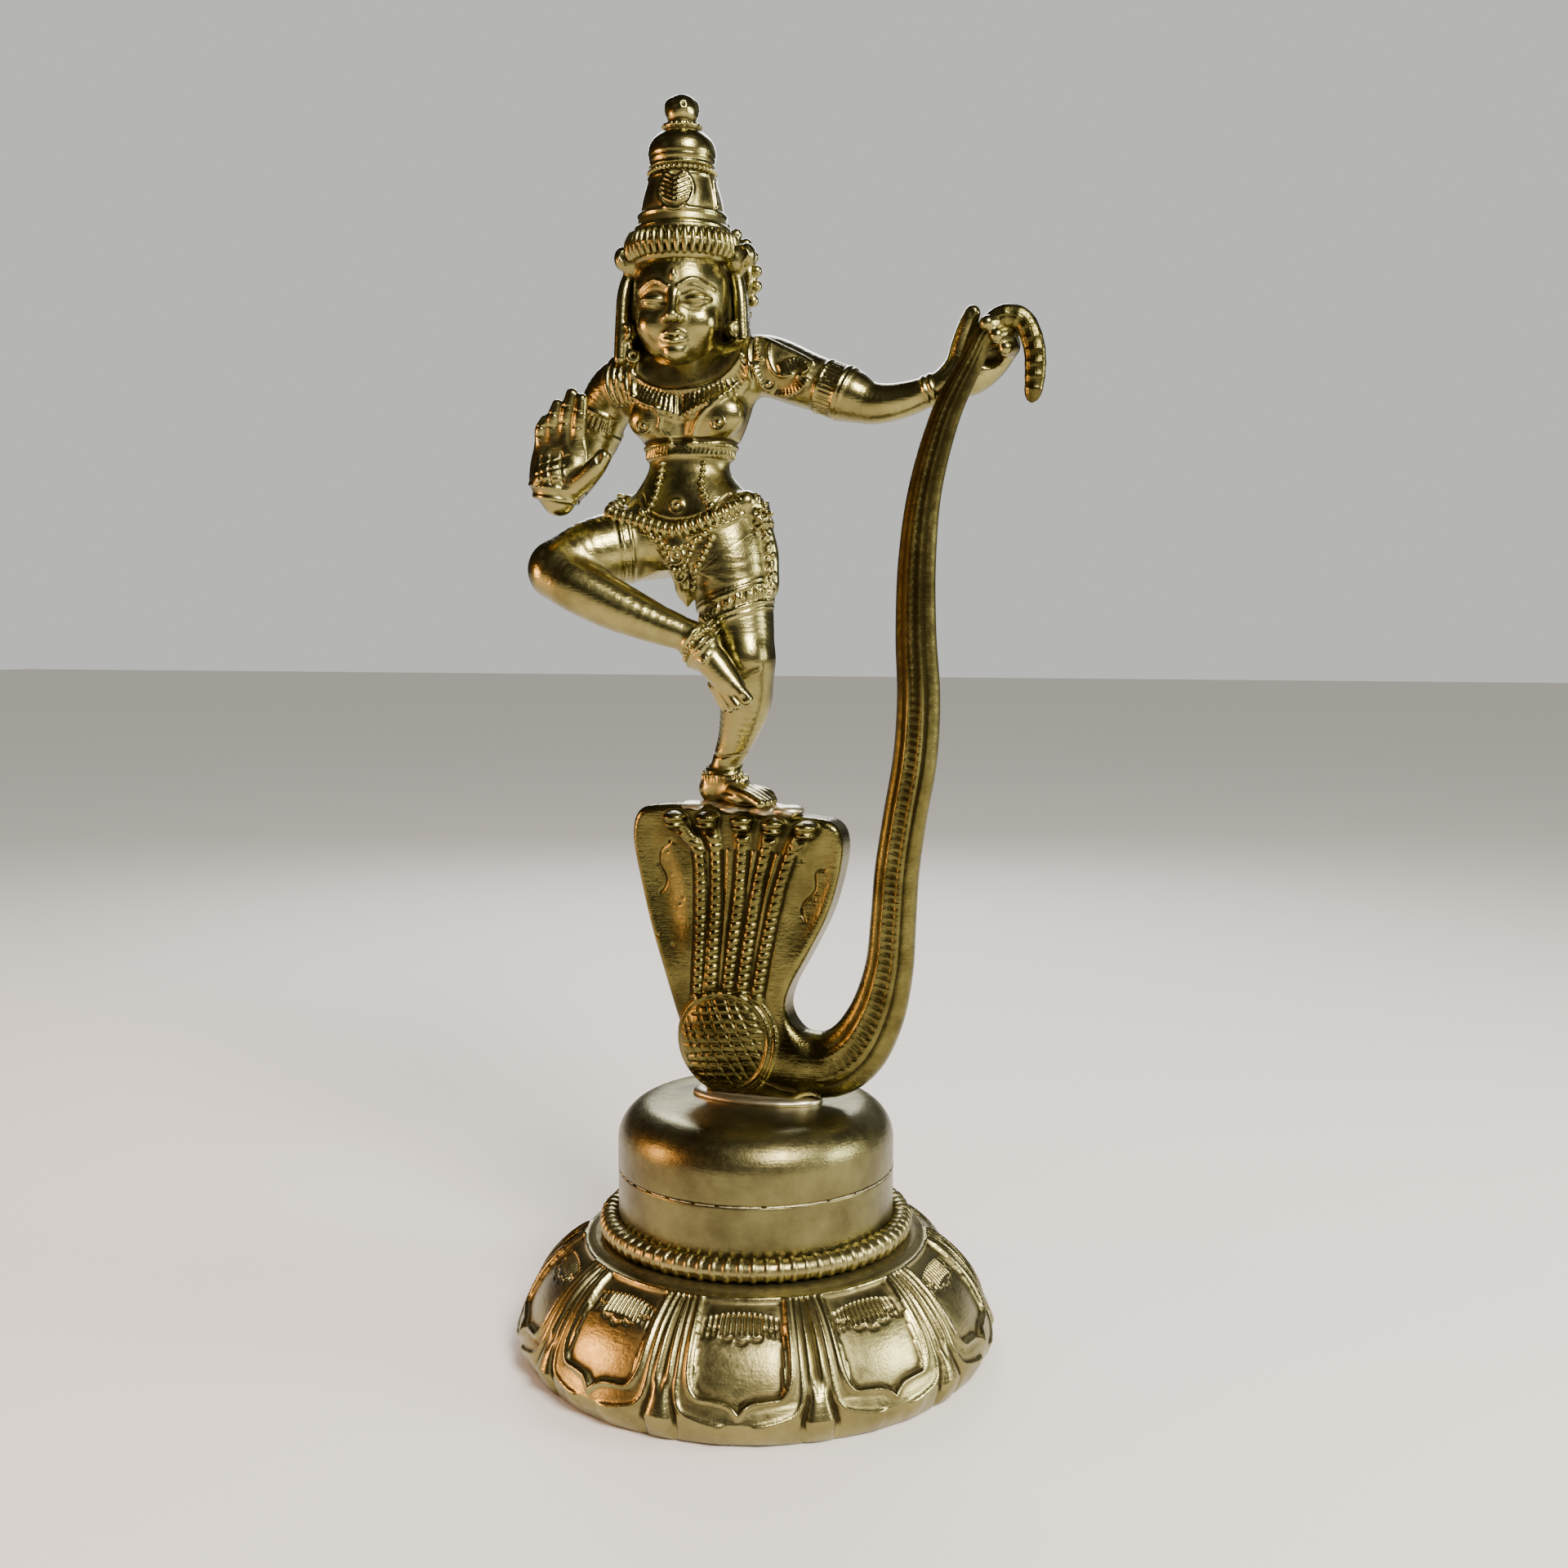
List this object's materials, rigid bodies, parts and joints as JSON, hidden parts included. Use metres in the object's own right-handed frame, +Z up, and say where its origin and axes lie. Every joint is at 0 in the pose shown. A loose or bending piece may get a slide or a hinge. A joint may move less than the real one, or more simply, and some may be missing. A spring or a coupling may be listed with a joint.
{
  "type": "brass temple figure",
  "caption": "Cast brass figure dancing on a hooded serpent whose tail it holds, on a drum and a lotus-petal pedestal; stands free on its hollow base.",
  "frame": {"origin": "centre of the round pedestal on the plane that the statue stands on", "axes": "+Z up the pedestal's axis, figure faces -Y, the held tail is on the +X side"},
  "size_m": [0.085, 0.0772, 0.2016],
  "materials": {
    "pedestal_brass": "satin aged",
    "serpent_brass": "satin aged",
    "figure_brass": "satin polished",
    "braze_metal": "as cast",
    "fastener_steel": "plain"
  },
  "bodies": {
    "root": {"lotus_base": "pedestal_brass", "rope_ring": "pedestal_brass", "pedestal_drum": "pedestal_brass", "pedestal_cap": "pedestal_brass", "fixing_stud": "fastener_steel", "fixing_washer": "fastener_steel", "fixing_nut": "fastener_steel", "serpent_braze": "braze_metal", "serpent_hood": "serpent_brass", "serpent_tail": "serpent_brass", "foot_braze": "braze_metal", "standing_leg": "figure_brass", "raised_leg": "figure_brass", "torso": "figure_brass", "raised_arm": "figure_brass", "tail_arm": "figure_brass", "head": "figure_brass", "crown": "figure_brass", "halo_wheel": "figure_brass"}
  },
  "joints": []
}
